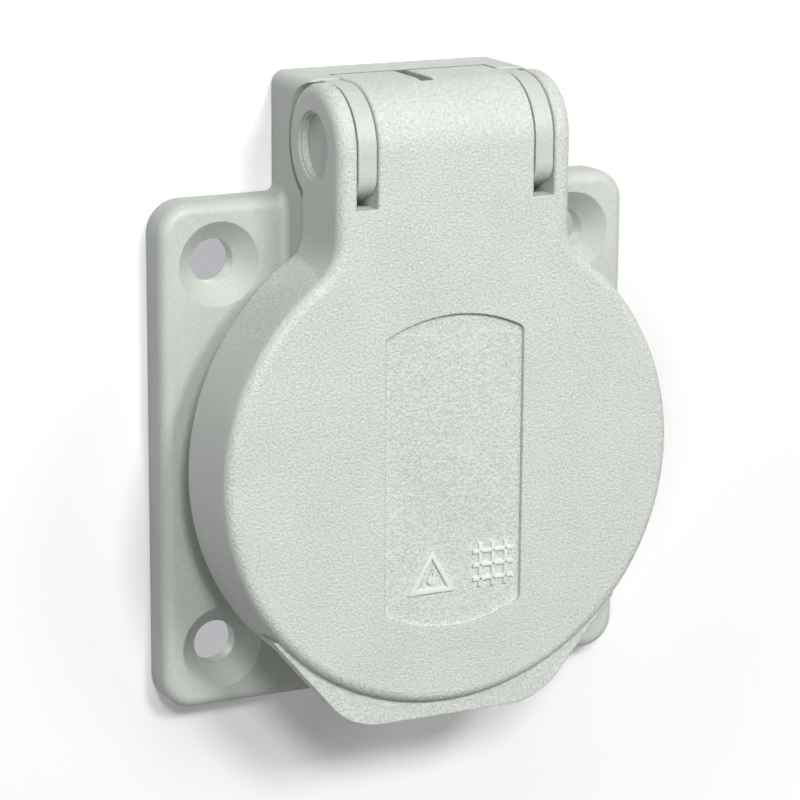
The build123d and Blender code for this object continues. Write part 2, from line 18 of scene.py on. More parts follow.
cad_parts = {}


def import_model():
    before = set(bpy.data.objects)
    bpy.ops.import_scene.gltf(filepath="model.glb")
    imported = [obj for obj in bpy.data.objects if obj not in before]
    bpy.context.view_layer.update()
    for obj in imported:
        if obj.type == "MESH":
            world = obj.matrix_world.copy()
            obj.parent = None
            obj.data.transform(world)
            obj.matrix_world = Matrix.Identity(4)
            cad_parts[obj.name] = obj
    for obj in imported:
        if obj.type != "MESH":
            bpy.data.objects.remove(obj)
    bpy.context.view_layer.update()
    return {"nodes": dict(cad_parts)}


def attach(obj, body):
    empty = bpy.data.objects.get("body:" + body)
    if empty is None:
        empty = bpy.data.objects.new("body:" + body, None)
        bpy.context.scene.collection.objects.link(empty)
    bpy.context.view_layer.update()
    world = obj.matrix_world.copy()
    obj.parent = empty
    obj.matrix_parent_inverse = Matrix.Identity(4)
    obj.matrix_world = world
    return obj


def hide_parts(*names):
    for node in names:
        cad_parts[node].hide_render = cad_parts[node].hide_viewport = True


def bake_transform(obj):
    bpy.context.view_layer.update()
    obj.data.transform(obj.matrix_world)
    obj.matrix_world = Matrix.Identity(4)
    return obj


MM = 0.001
LOG = logging.getLogger("socket")

# Faces that meet at more degrees than this keep a sharp edge
SMOOTH_TO = 35

# The middle part of a noise pattern, where nearly all of its values lie
NOISE_LOW, NOISE_HIGH = 0.3, 0.7
NOISE_ROUGHNESS = 0.55

# The colour sockets of a Mix node, which shares its names among its kinds
SHARE, FIRST_COLOUR, SECOND_COLOUR, MIXED_COLOUR = 0, 6, 7, 2

PLAIN_WHITE = (1.0, 1.0, 1.0, 1.0)

# Rays for each shaded point of a rounded edge, enough for a fine grain to hide their noise
EDGE_SAMPLES = 4


class Side(Enum):
    """The two sides of a part that is the same left and right."""

    LEFT = -1
    RIGHT = 1


class Facing(Enum):
    """Which way a raised mark on a flat face looks."""

    FRONT = 0
    BACK = 180

    def turn(self) -> Matrix:
        """Return the rotation that lays a mark drawn in the XY plane on a face that looks this way."""
        return Matrix.Rotation(radians(self.value), 4, "Z") @ Matrix.Rotation(pi / 2, 4, "X")


def linear(colour: str) -> tuple[float, float, float, float]:
    """Turn an sRGB hex colour to linear values.

    Args:
        colour: Six hex digits after a hash sign.

    Returns:
        Linear red, green, blue, and an alpha of one.
    """
    parts = [int(colour[i:i + 2], 16) / 255 for i in (1, 3, 5)]
    red, green, blue = (v / 12.92 if v <= 0.04045 else ((v + 0.055) / 1.055) ** 2.4 for v in parts)
    return red, green, blue, 1.0


def per_metre(size_mm: float) -> float:
    """Return the texture scale at which a pattern's cells are this many millimetres wide."""
    return 1 / (size_mm * MM)


def add_node(
    tree: bpy.types.NodeTree,
    kind: str,
    settings: Mapping[str, object] | None = None,
    inputs: Mapping[str | int, object] | None = None,
) -> bpy.types.Node:
    """Add a node with its settings and links.

    Args:
        tree: The node tree that gets the node.
        kind: The node's type name.
        settings: Property names and their values.
        inputs: Input names or numbers, each with a value or with the socket that feeds it.

    Returns:
        The new node.
    """
    node = tree.nodes.new(kind)
    for name, value in (settings or {}).items():
        setattr(node, name, value)
    for name, value in (inputs or {}).items():
        if isinstance(value, bpy.types.NodeSocket):
            tree.links.new(value, node.inputs[name])
        else:
            node.inputs[name].default_value = value
    return node


@dataclass(frozen=True)
class Finish:
    """A surface finish, named for its material and for how its surface was made.

    Attributes:
        name: The finish's own name.
        slot: The record's material slot that it belongs to; not used.
        colour: The material's colour.
        roughness: The mean roughness of the surface.
    """

    name: str
    slot: str
    colour: str
    roughness: float

    def material(self) -> bpy.types.Material:
        """Return the finish's material, made when it is first asked for.

        Returns:
            The material.
        """
        made = bpy.data.materials.get(self.name)
        if made is None:
            made = bpy.data.materials.new(self.name)
            made.use_nodes = True
            made.node_tree.nodes.clear()
            self.shade(made.node_tree)
        return made

    def shade(self, tree: bpy.types.NodeTree) -> None:
        """Fill the material's node tree."""
        raise NotImplementedError

    def noise(
        self, tree: bpy.types.NodeTree, place: bpy.types.NodeSocket, size_mm: float, detail: float = 2.0
    ) -> bpy.types.NodeSocket:
        """Add a noise pattern.

        Args:
            tree: The node tree.
            place: The coordinates that the pattern follows.
            size_mm: How wide its cells are.
            detail: How many finer layers it has.

        Returns:
            The pattern's value, from 0 to 1.
        """
        inputs = {
            "Vector": place,
            "Scale": per_metre(size_mm),
            "Detail": detail,
            "Roughness": NOISE_ROUGHNESS,
        }
        return add_node(tree, "ShaderNodeTexNoise", {}, inputs).outputs["Fac"]

    def spread(
        self, tree: bpy.types.NodeTree, value: bpy.types.NodeSocket, low: float, high: float
    ) -> bpy.types.NodeSocket:
        """Stretch the middle of a noise pattern to run from low to high.

        Args:
            tree: The node tree.
            value: The pattern's value.
            low: What its low end becomes.
            high: What its high end becomes.

        Returns:
            The stretched value.
        """
        inputs = {
            "Value": value,
            "From Min": NOISE_LOW,
            "From Max": NOISE_HIGH,
            "To Min": low,
            "To Max": high,
        }
        return add_node(tree, "ShaderNodeMapRange", {}, inputs).outputs["Result"]

    def between(
        self, tree: bpy.types.NodeTree, share: bpy.types.NodeSocket, first: str, second: str
    ) -> bpy.types.NodeSocket:
        """Mix two colours by a pattern's value.

        Args:
            tree: The node tree.
            share: The pattern's value, which is the share of the second colour.
            first: The first colour.
            second: The second colour.

        Returns:
            The mixed colour.
        """
        inputs = {SHARE: share, FIRST_COLOUR: linear(first), SECOND_COLOUR: linear(second)}
        return add_node(tree, "ShaderNodeMix", {"data_type": "RGBA"}, inputs).outputs[MIXED_COLOUR]

    def bump(
        self,
        tree: bpy.types.NodeTree,
        height: bpy.types.NodeSocket,
        depth_mm: float,
        strength: float | bpy.types.NodeSocket = 1.0,
        under: bpy.types.NodeSocket | None = None,
    ) -> bpy.types.NodeSocket:
        """Add relief.

        Args:
            tree: The node tree.
            height: The relief's height, from 0 to 1.
            depth_mm: The real height that 1 stands for.
            strength: How much of it shows.
            under: The normal of a coarser relief below this one.

        Returns:
            The normal with the relief on it.
        """
        inputs = {"Height": height, "Distance": depth_mm * MM, "Strength": strength}
        if under is not None:
            inputs["Normal"] = under
        return add_node(tree, "ShaderNodeBump", {}, inputs).outputs["Normal"]

    def surface(self, tree: bpy.types.NodeTree, inputs: Mapping[str, object]) -> None:
        """Add the surface shader with its inputs and send it to the output."""
        shader = add_node(tree, "ShaderNodeBsdfPrincipled", {}, inputs)
        add_node(tree, "ShaderNodeOutputMaterial", {}, {"Surface": shader.outputs["BSDF"]})


@dataclass(frozen=True)
class MouldedPlastic(Finish):
    """Injection-moulded thermoplastic.

    Attributes:
        shade_colour: The colour of the slightly darker clouds in the moulding.
        cloud_mm: How wide those clouds are.
        peel_mm: How wide the faint waves of the moulded skin are.
        peel_depth_mm: How deep those waves are.
        grain_mm: How wide the pits of the spark-eroded mould's texture are.
        grain_depth_mm: How deep those pits are.
        side_share: How much of the grain shows on faces drawn along the mould's wall.
        speck: How far each grain's tone goes towards the darker or the lighter colour.
        edge_r_mm: The radius that the mould leaves on every sharp edge.
        gloss_swing: How far the skin's roughness goes up and down.
        cloud_range: The clouds' share of the lighter colour, from its least to its most.
        grain_range: How far a face turns out of the mould where grain starts, and where it is full.
        ior: The index of refraction.
    """

    shade_colour: str
    cloud_mm: float = 7.0
    peel_mm: float = 1.6
    peel_depth_mm: float = 0.008
    grain_mm: float = 0.24
    grain_depth_mm: float = 0.03
    side_share: float = 0.15
    speck: float = 0.5
    edge_r_mm: float = 0.2
    gloss_swing: float = 0.04
    cloud_range: tuple[float, float] = (0.42, 0.58)
    grain_range: tuple[float, float] = (0.3, 0.75)
    ior: float = 1.53

    def shade(self, tree: bpy.types.NodeTree) -> None:
        """Fill the node tree: clouds in the colour, a wavy skin, and grain where the face looks outwards.

        Args:
            tree: The material's node tree.
        """
        coords = add_node(tree, "ShaderNodeTexCoord")
        place = coords.outputs["Object"]
        clouds = self.spread(tree, self.noise(tree, place, self.cloud_mm), *self.cloud_range)
        grain = self.noise(tree, place, self.grain_mm, detail=3.0)
        peel = self.noise(tree, place, self.peel_mm)
        outward = self.outward(tree, coords.outputs["Normal"])
        edge_inputs = {"Radius": self.edge_r_mm * MM}
        rounded = add_node(tree, "ShaderNodeBevel", {"samples": EDGE_SAMPLES}, edge_inputs)
        skin = self.bump(tree, peel, self.peel_depth_mm, under=rounded.outputs["Normal"])
        relief = self.bump(tree, grain, self.grain_depth_mm, outward, skin)
        speck = self.spread(tree, grain, -self.speck, self.speck)
        specks = add_node(tree, "ShaderNodeMath", {"operation": "MULTIPLY"}, {0: speck, 1: outward})
        share = add_node(
            tree,
            "ShaderNodeMath",
            {"operation": "ADD", "use_clamp": True},
            {0: clouds, 1: specks.outputs["Value"]},
        )
        smoothest, roughest = self.roughness - self.gloss_swing, self.roughness + self.gloss_swing
        inputs = {
            "Base Color": self.between(tree, share.outputs["Value"], self.shade_colour, self.colour),
            "Roughness": self.spread(tree, peel, smoothest, roughest),
            "IOR": self.ior,
            "Normal": relief,
        }
        self.surface(tree, inputs)

    def outward(self, tree: bpy.types.NodeTree, normal: bpy.types.NodeSocket) -> bpy.types.NodeSocket:
        """Return the share of grain: all of it on faces that look forward or up, little on the others.

        Args:
            tree: The node tree.
            normal: The face's normal, in the piece's own coordinates.

        Returns:
            The share, from side_share to 1.
        """
        axes = add_node(tree, "ShaderNodeSeparateXYZ", {}, {"Vector": normal})
        front = add_node(tree, "ShaderNodeMath", {"operation": "MULTIPLY"}, {0: axes.outputs["Y"], 1: -1.0})
        either = add_node(
            tree,
            "ShaderNodeMath",
            {"operation": "MAXIMUM"},
            {0: front.outputs["Value"], 1: axes.outputs["Z"]},
        )
        inputs = {
            "Value": either.outputs["Value"],
            "From Min": self.grain_range[0],
            "From Max": self.grain_range[1],
            "To Min": self.side_share,
            "To Max": 1.0,
        }
        share = add_node(tree, "ShaderNodeMapRange", {"interpolation_type": "SMOOTHSTEP"}, inputs)
        return share.outputs["Result"]


@dataclass(frozen=True)
class SealRubber(Finish):
    """Moulded seal rubber with a dull bloom.

    Attributes:
        bloom_colour: The colour of the pale bloom on its skin.
        bloom_mm: How wide the bloom's patches are.
        skin_mm: How wide the pits of its skin are.
        skin_depth_mm: How deep those pits are.
        dull_swing: How far the roughness goes down, and up, with the bloom.
        ior: The index of refraction.
    """

    bloom_colour: str
    bloom_mm: float = 3.0
    skin_mm: float = 0.25
    skin_depth_mm: float = 0.012
    dull_swing: tuple[float, float] = (0.08, 0.06)
    ior: float = 1.5

    def shade(self, tree: bpy.types.NodeTree) -> None:
        """Fill the node tree: a patchy bloom over a finely pitted dull skin.

        Args:
            tree: The material's node tree.
        """
        place = add_node(tree, "ShaderNodeTexCoord").outputs["Object"]
        bloom = self.spread(tree, self.noise(tree, place, self.bloom_mm, detail=4.0), 0.0, 1.0)
        skin = self.noise(tree, place, self.skin_mm)
        smoothest, roughest = self.roughness - self.dull_swing[0], self.roughness + self.dull_swing[1]
        inputs = {
            "Base Color": self.between(tree, bloom, self.colour, self.bloom_colour),
            "Roughness": self.spread(tree, bloom, smoothest, roughest),
            "IOR": self.ior,
            "Normal": self.bump(tree, skin, self.skin_depth_mm),
        }
        self.surface(tree, inputs)


@dataclass(frozen=True)
class WorkedMetal(Finish):
    """A metal surface with fine marks from its making and a faint change of tint.

    Attributes:
        tint_colour: The second tint, of handling or of passivation.
        tint_mm: How wide the tint's patches are.
        mark_mm: How far apart the fine marks are.
        mark_depth_mm: How deep they are.
        run: How many times longer than wide the marks are along X, Y and Z.
        gloss_swing: How far the roughness goes up and down with the marks.
    """

    tint_colour: str
    tint_mm: float = 2.5
    mark_mm: float = 0.12
    mark_depth_mm: float = 0.003
    run: tuple[float, float, float] = (1.0, 1.0, 1.0)
    gloss_swing: float = 0.06

    def shade(self, tree: bpy.types.NodeTree) -> None:
        """Fill the node tree: a patchy tint, and marks that are stretched the way the metal was worked.

        Args:
            tree: The material's node tree.
        """
        place = add_node(tree, "ShaderNodeTexCoord").outputs["Object"]
        stretch = {"Vector": place, "Scale": tuple(1 / length for length in self.run)}
        along = add_node(tree, "ShaderNodeMapping", {}, stretch).outputs["Vector"]
        tint = self.spread(tree, self.noise(tree, place, self.tint_mm, detail=3.0), 0.0, 1.0)
        marks = self.noise(tree, along, self.mark_mm)
        smoothest, roughest = self.roughness - self.gloss_swing, self.roughness + self.gloss_swing
        inputs = {
            "Base Color": self.between(tree, tint, self.colour, self.tint_colour),
            "Metallic": 1.0,
            "Roughness": self.spread(tree, marks, smoothest, roughest),
            "Normal": self.bump(tree, marks, self.mark_depth_mm),
        }
        self.surface(tree, inputs)


# Light grey ABS from a spark-eroded mould: an even, faintly greenish grey whose fine pits sparkle
SPARKED_GREY = MouldedPlastic(
    "abs_grey_spark_eroded", "grey_moulding", "#DCE1DA", 0.48, "#BABFB8", grain_depth_mm=0.125
)

# The same ABS from the plainer half of the mould: soft and satin, with only a trace of grain; its colour is
# darker than the lid's, which paints the shade that falls on the flange beside the lid
SATIN_GREY_WITH_PAINTED_SHADE = MouldedPlastic(
    "abs_grey_satin_painted_shade", "grey_moulding", "#C9CEC7", 0.44, "#BEC3BC", grain_depth_mm=0.03, side_share=0.5
)

# The same ABS on the raised signs, where the mould's engraving is polished: smooth, with little grain, and
# a little lighter in colour than the lid, so the signs read
POLISHED_GREY = MouldedPlastic(
    "abs_grey_polished",
    "grey_moulding",
    "#E4E9E2",
    0.36,
    "#DADFD8",
    grain_depth_mm=0.01,
    speck=0.1,
    edge_r_mm=0.08,
)

# Off-white glass-filled polyester base: slightly warm, mottled by the glass, semi-matte
BASE_WHITE = MouldedPlastic(
    "polyester_glass_filled",
    "white_moulding",
    "#DDDBD1",
    0.52,
    "#D3D0C4",
    cloud_mm=4.0,
    peel_mm=0.9,
    grain_mm=0.22,
    grain_depth_mm=0.008,
    side_share=1.0,
)

# Black seal rubber, pressed in a warm mould: deep grey under a thin pale bloom
SEAL_BLACK = SealRubber("epdm_moulded", "seal_rubber", "#232425", 0.72, "#34363A")

# Half-hard brass strip, stamped: warm yellow, fine rolling marks along its length
BRASS_STRIP = WorkedMetal(
    "brass_rolled", "contact_brass", "#D9B568", 0.27, "#C99F52", mark_mm=0.16, run=(1.0, 1.0, 9.0)
)

# Zinc-plated steel with clear passivation: cool silver, patches of blue and straw
ZINC_PLATE = WorkedMetal("steel_zinc_plated", "zinc_steel", "#C9CDD3", 0.26, "#C6C3AE", tint_mm=1.6)

# Stainless spring wire, drawn: darker and smoother, with faint die lines
SPRING_WIRE = WorkedMetal(
    "stainless_spring_wire", "spring_steel", "#9EA0A3", 0.30, "#86888B", mark_mm=0.1, run=(6.0, 1.0, 1.0)
)


def dress(node: bpy.types.Object, finish: Finish) -> None:
    """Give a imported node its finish.

    Args:
        node: The node's object.
        finish: The finish that it takes.
    """
    node.data.materials.clear()
    node.data.materials.append(finish.material())


def shown(name: str, mesh: bmesh.types.BMesh, finish: Finish) -> bpy.types.Object:
    """Turn a finished bmesh to an object that is smooth up to its real edges.

    Args:
        name: The object's name.
        mesh: Its shape, in metres, which is freed.
        finish: The finish that it takes.

    Returns:
        The new object, at the origin.
    """
    data = bpy.data.meshes.new(name)
    mesh.to_mesh(data)
    mesh.free()
    packed_normals = data.attributes.get("custom_normal")
    if packed_normals is not None:
        data.attributes.remove(packed_normals)
    data.shade_smooth()
    data.set_sharp_from_angle(angle=radians(SMOOTH_TO))
    made = bpy.data.objects.new(name, data)
    bpy.context.scene.collection.objects.link(made)
    data.materials.append(finish.material())
    LOG.info("%s: %d faces", name, len(data.polygons))
    return made


def in_fixed_order(mesh: bmesh.types.BMesh) -> bmesh.types.BMesh:
    """Draw a mesh again with its points and faces sorted by their place.

    A bevel returns its faces in an order that changes from run to run, and the corner that a
    face starts at decides how it is split to triangles. From its lowest corner, the drop's
    narrow top splits with no triangle turned over.

    Args:
        mesh: The mesh, which is freed.

    Returns:
        The same shape, with the same order each run.
    """
    faces = []
    for face in mesh.faces:
        places = [tuple(vert.co) for vert in face.verts]
        start = places.index(min(places, key=lambda place: (place[2], place)))
        faces.append(places[start:] + places[:start])
    mesh.free()
    ordered = bmesh.new()
    points = {place: ordered.verts.new(place) for place in sorted(set(chain.from_iterable(faces)))}
    for places in sorted(faces):
        ordered.faces.new([points[place] for place in places])
    return ordered


def piece(name: str, mesh: bmesh.types.BMesh, finish: Finish, body: str) -> bpy.types.Object:
    """Turn a finished bmesh, drawn in millimetres, to a piece that rides on a body.

    Args:
        name: The piece's name.
        mesh: Its shape, which is freed.
        finish: The finish that it takes.
        body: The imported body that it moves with.

    Returns:
        The new object, at the origin.
    """
    bmesh.ops.scale(mesh, vec=(MM, MM, MM), verts=mesh.verts[:])
    bmesh.ops.recalc_face_normals(mesh, faces=mesh.faces[:])
    made = shown(name, in_fixed_order(mesh), finish)
    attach(made, body)
    return made


def flat_round(
    mesh: bmesh.types.BMesh, radius: float, sides: int, middle: tuple[float, float]
) -> bmesh.types.BMFace:
    """Add a flat regular outline, filled with one face.

    Args:
        mesh: The mesh that gets it.
        radius: The radius that its corners lie on.
        sides: How many sides it has.
        middle: Its middle in the plane.

    Returns:
        The face.
    """
    place = Matrix.Translation((*middle, 0))
    added = bmesh.ops.create_circle(mesh, cap_ends=True, segments=sides, radius=radius, matrix=place)
    return next(iter(added["verts"][0].link_faces))


@dataclass(frozen=True)
class RaisedStroke:
    """The section of the raised lines that a mould's engraving leaves.

    Attributes:
        width: The line's width at its foot.
        height: How far it stands above its face.
        sunk: How far its foot goes into the face, so that no gap shows.
        edge: The radius of its upper edges.
        edge_steps: How many faces go round that radius.
    """

    width: float = 0.5
    height: float = 0.25
    sunk: float = 0.1
    edge: float = 0.11
    edge_steps: int = 2

    def raise_up(self, mesh: bmesh.types.BMesh, faces: Sequence[bmesh.types.BMFace]) -> None:
        """Pull flat faces up to a ridge and round its upper edges.

        Args:
            mesh: The mesh that holds them.
            faces: The faces that rise.
        """
        raised = bmesh.ops.extrude_face_region(mesh, geom=list(faces))["geom"]
        verts = [part for part in raised if isinstance(part, bmesh.types.BMVert)]
        bmesh.ops.translate(mesh, vec=(0, 0, self.height + self.sunk), verts=verts)
        top = {part for part in raised if isinstance(part, bmesh.types.BMFace)}
        rim = [edge for edge in mesh.edges if len(top.intersection(edge.link_faces)) == 1]
        bmesh.ops.bevel(
            mesh,
            geom=rim,
            offset=self.edge,
            segments=self.edge_steps,
            profile=0.5,
            affect="EDGES",
            material=-1,
        )

    def ring(self, mesh: bmesh.types.BMesh, outline: bmesh.types.BMFace) -> None:
        """Turn a flat outline to a raised line that runs along it.

        Args:
            mesh: The mesh that holds it.
            outline: The outline, as one face.
        """
        inset = bmesh.ops.inset_region(
            mesh, faces=[outline], thickness=self.width, use_even_offset=True, use_boundary=True
        )
        bmesh.ops.delete(mesh, geom=[outline], context="FACES")
        self.raise_up(mesh, inset["faces"])

    def bar(self, mesh: bmesh.types.BMesh, middle: tuple[float, float], size: tuple[float, float]) -> None:
        """Add a straight raised line.

        Args:
            mesh: The mesh that gets it.
            middle: Its middle in the plane.
            size: Its width and height in the plane.
        """
        place = Matrix.Translation((*middle, 0)) @ Matrix.Diagonal((*size, 1, 1))
        added = bmesh.ops.create_grid(mesh, x_segments=1, y_segments=1, size=0.5, matrix=place)
        face = next(iter(added["verts"][0].link_faces))
        self.raise_up(mesh, [face])


@dataclass
class LidMoulding:
    """The lid with its two moulded hinge pins and the marks that its mould leaves.

    Attributes:
        finish: The finish of the lid and the pins.
        sign_finish: The finish of the signs in the window.
        window_floor: Y of the shallow window's floor.
        marks_at: X and Z of the middle of the marks in the window.
        marks_apart: How far the two marks stand apart.
        mark_size: How high each mark is.
        splash_stroke: The raised line of the splash mark.
        drop_r: Radius of the drop's round end.
        drop_below: How far below the mark's middle the drop's centre lies.
        drop_stretch: How many times its radius the drop's tip goes up beyond the round.
        drop_sides: How many sides the drop's outline has.
        dust_stroke: The raised line of the dust mark.
        dust_pitch: How far apart that mark's lines are.
        inner_face: Y of the lid's inner face.
        ejectors: How many ejectors left their marks.
        ejector_stroke: The ridge of an ejector's mark.
        ejector_r: Radius of those round marks.
        ejector_ring_r: Radius of the circle that they lie on.
        ejector_sides: How many sides each ridge has.
    """

    finish: Finish = SPARKED_GREY
    sign_finish: Finish = POLISHED_GREY
    window_floor: float = -15.2
    marks_at: tuple[float, float] = (1.1, -10.2)
    marks_apart: float = 6.6
    mark_size: float = 4.4
    splash_stroke: RaisedStroke = RaisedStroke()
    drop_r: float = 0.506
    drop_below: float = 0.88
    drop_stretch: float = 1.3
    drop_sides: int = 20
    dust_stroke: RaisedStroke = RaisedStroke(width=0.4)
    dust_pitch: float = 1.375
    inner_face: float = -13.4
    ejectors: int = 4
    ejector_stroke: RaisedStroke = RaisedStroke(width=0.25, height=0.08, edge=0.03)
    ejector_r: float = 1.6
    ejector_ring_r: float = 12.5
    ejector_sides: int = 32

    def build(self, nodes: Mapping[str, bpy.types.Object]) -> None:
        """Dress the lid's nodes and add its marks.

        Args:
            nodes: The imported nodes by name.
        """
        for name in ("lid", "hinge_pin_left", "hinge_pin_right"):
            dress(nodes[name], self.finish)
        self.splash_mark()
        self.dust_mark()
        self.ejector_marks()

    def add_to_window(
        self, name: str, mesh: bmesh.types.BMesh, side: Side, stroke: RaisedStroke
    ) -> None:
        """Lay a mark drawn in the XY plane on the window's floor, as a piece that rides on the lid.

        Args:
            name: The piece's name.
            mesh: The mark.
            side: The side of the marks' middle that it stands on.
            stroke: Its raised line.
        """
        x = self.marks_at[0] + side.value * self.marks_apart / 2
        place = Matrix.Translation((x, self.window_floor + stroke.sunk, self.marks_at[1]))
        bmesh.ops.transform(mesh, matrix=place @ Facing.FRONT.turn(), verts=mesh.verts[:])
        piece(name, mesh, self.sign_finish, "lid")

    def splash_mark(self) -> None:
        """Add the raised drop in a triangle, the common sign for splash-proof."""
        stroke = self.splash_stroke
        mesh = bmesh.new()
        # The centre of an equal-sided triangle lies a third of the way up
        corner_r = self.mark_size * 2 / 3
        centre_below = self.mark_size / 2 - self.mark_size / 3
        stroke.ring(mesh, flat_round(mesh, corner_r, 3, (0, -centre_below)))
        drop = flat_round(mesh, self.drop_r, self.drop_sides, (0, -self.drop_below))
        for vert in drop.verts:
            rise = vert.co.y + self.drop_below
            if rise > 0:
                vert.co.x *= 1 - rise / self.drop_r
                vert.co.y += rise * self.drop_stretch
        stroke.raise_up(mesh, [drop])
        self.add_to_window("splash_mark", mesh, Side.LEFT, stroke)

    def dust_mark(self) -> None:
        """Add the raised mesh of crossing lines, the common sign for dust-protected."""
        stroke = self.dust_stroke
        mesh = bmesh.new()
        for line in (-1, 0, 1):
            stroke.bar(mesh, (line * self.dust_pitch, 0), (stroke.width, self.mark_size))
            stroke.bar(mesh, (0, line * self.dust_pitch), (self.mark_size, stroke.width))
        self.add_to_window("dust_mark", mesh, Side.RIGHT, stroke)

    def ejector_marks(self) -> None:
        """Add the faint round ridges that the mould's ejectors leave inside the lid."""
        stroke = self.ejector_stroke
        mesh = bmesh.new()
        for step in range(self.ejectors):
            angle = (step + 0.5) * 2 * pi / self.ejectors
            middle = (self.ejector_ring_r * cos(angle), self.ejector_ring_r * sin(angle))
            stroke.ring(mesh, flat_round(mesh, self.ejector_r, self.ejector_sides, middle))
        place = Matrix.Translation((0, self.inner_face - stroke.sunk, 0)) @ Facing.BACK.turn()
        bmesh.ops.transform(mesh, matrix=place, verts=mesh.verts[:])
        piece("ejector_marks", mesh, self.finish, "lid")


@dataclass
class HousingMoulding:
    """The flange, collar, plug well and barrel, one moulding.

    Attributes:
        finish: Its finish.
    """

    finish: Finish = SATIN_GREY_WITH_PAINTED_SHADE

    def build(self, nodes: Mapping[str, bpy.types.Object]) -> None:
        """Dress the housing."""
        dress(nodes["flange_housing"], self.finish)


@dataclass
class Seals:
    """The gasket behind the flange and the gasket in the lid.

    Attributes:
        finish: The finish of both.
    """

    finish: Finish = SEAL_BLACK

    def build(self, nodes: Mapping[str, bpy.types.Object]) -> None:
        """Dress both gaskets."""
        for name in ("panel_gasket", "lid_gasket"):
            dress(nodes[name], self.finish)


@dataclass
class HingeSpring:
    """The torsion spring that closes the lid and winds up as it opens.

    Attributes:
        finish: Its finish.
        coil_from: X where the coil leaves the back leg, which stays in the housing; not used.
        coil_to: X where it meets the front leg, which goes round with the lid; not used.
        weld: How close points are that become one.
    """

    finish: Finish = SPRING_WIRE
    coil_from: float = -0.7
    coil_to: float = 5.2
    weld: float = 0.001

    def build(self, nodes: Mapping[str, bpy.types.Object]) -> None:
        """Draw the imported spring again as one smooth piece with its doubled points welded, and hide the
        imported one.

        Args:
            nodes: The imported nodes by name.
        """
        mesh = bmesh.new()
        mesh.from_mesh(nodes["hinge_spring"].data)
        bmesh.ops.remove_doubles(mesh, verts=mesh.verts[:], dist=self.weld * MM)
        wound = shown("wound_spring", mesh, self.finish)
        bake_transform(wound)
        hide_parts("hinge_spring")


@dataclass
class ContactSet:
    """The live contacts, their spring rings, the earth bracket, and the screws and clamps on them.

    Attributes:
        strip: The finish of what is stamped from brass strip.
        ring: The finish of the spring rings.
        fastener: The finish of the screws and clamp plates.
    """

    strip: Finish = BRASS_STRIP
    ring: Finish = SPRING_WIRE
    fastener: Finish = ZINC_PLATE

    def build(self, nodes: Mapping[str, bpy.types.Object]) -> None:
        """Dress the metal parts of the circuit.

        Args:
            nodes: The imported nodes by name.
        """
        for name in ("contact_line", "contact_neutral", "earth_bracket"):
            dress(nodes[name], self.strip)
        for name in ("contact_spring_line", "contact_spring_neutral"):
            dress(nodes[name], self.ring)
        for pole in ("line", "neutral", "earth"):
            dress(nodes[f"terminal_screw_{pole}"], self.fastener)
            dress(nodes[f"clamp_plate_{pole}"], self.fastener)
        dress(nodes["centre_screw"], self.fastener)


@dataclass
class RearInsulation:
    """The contact carrier and the touch guard behind it, with the guard's earth sign.

    Attributes:
        finish: The finish of both mouldings.
        fastener: The finish of the guard's screws.
        cover_back: Y of the guard's outer face.
        sign_at: X and Z of the earth sign's middle.
        sign_stroke: The earth sign's raised line.
        stem: How far above that middle the sign's stem has its own middle, and its length.
        rungs: The lengths of the sign's rungs, from the top one down.
        top_rung: How far above the sign's middle its top rung lies.
        rung_pitch: How far apart the rungs are.
    """

    finish: Finish = BASE_WHITE
    fastener: Finish = ZINC_PLATE
    cover_back: float = 27.0
    sign_at: tuple[float, float] = (0.0, -3.2)
    sign_stroke: RaisedStroke = RaisedStroke(width=0.4, height=0.2, edge=0.08)
    stem: tuple[float, float] = (1.3, 1.8)
    rungs: tuple[float, ...] = (3.4, 2.3, 1.2)
    top_rung: float = 0.4
    rung_pitch: float = 0.85

    def build(self, nodes: Mapping[str, bpy.types.Object]) -> None:
        """Dress the mouldings and their screws and add the earth sign.

        Args:
            nodes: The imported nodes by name.
        """
        for name in ("contact_carrier", "rear_cover"):
            dress(nodes[name], self.finish)
        for side in Side:
            dress(nodes[f"cover_screw_{side.name.lower()}"], self.fastener)
        self.earth_sign()

    def earth_sign(self) -> None:
        """Add the raised earth sign beside the earth terminal's driver hole."""
        stroke = self.sign_stroke
        mesh = bmesh.new()
        stem_middle, stem_length = self.stem
        stroke.bar(mesh, (0, stem_middle), (stroke.width, stem_length))
        for row, length in enumerate(self.rungs):
            stroke.bar(mesh, (0, self.top_rung - row * self.rung_pitch), (length, stroke.width))
        place = Matrix.Translation((self.sign_at[0], self.cover_back - stroke.sunk, self.sign_at[1]))
        bmesh.ops.transform(mesh, matrix=place @ Facing.BACK.turn(), verts=mesh.verts[:])
        piece("earth_sign", mesh, self.finish, "housing")


@dataclass(frozen=True)
class SoftLamp:
    """A round diffused lamp that looks at the socket.

    Attributes:
        name: Its name.
        azimuth: Degrees to the right of straight in front.
        elevation: Degrees above level.
        watts: Its power.
        distance: Metres from the socket.
        diameter: Metres across.
    """

    name: str
    azimuth: float
    elevation: float
    watts: float
    distance: float = 1.0
    diameter: float = 0.5

    def build(self) -> None:
        """Add the lamp to the scene."""
        data = bpy.data.lights.new(self.name, "AREA")
        data.shape = "DISK"
        data.size = self.diameter
        data.energy = self.watts
        lamp = bpy.data.objects.new(self.name, data)
        bpy.context.scene.collection.objects.link(lamp)
        turn, rise = radians(self.azimuth), radians(self.elevation)
        way = Vector((sin(turn) * cos(rise), -cos(turn) * cos(rise), sin(rise)))
        lamp.location = way * self.distance
        lamp.rotation_euler = (-way).to_track_quat("-Z", "Y").to_euler()


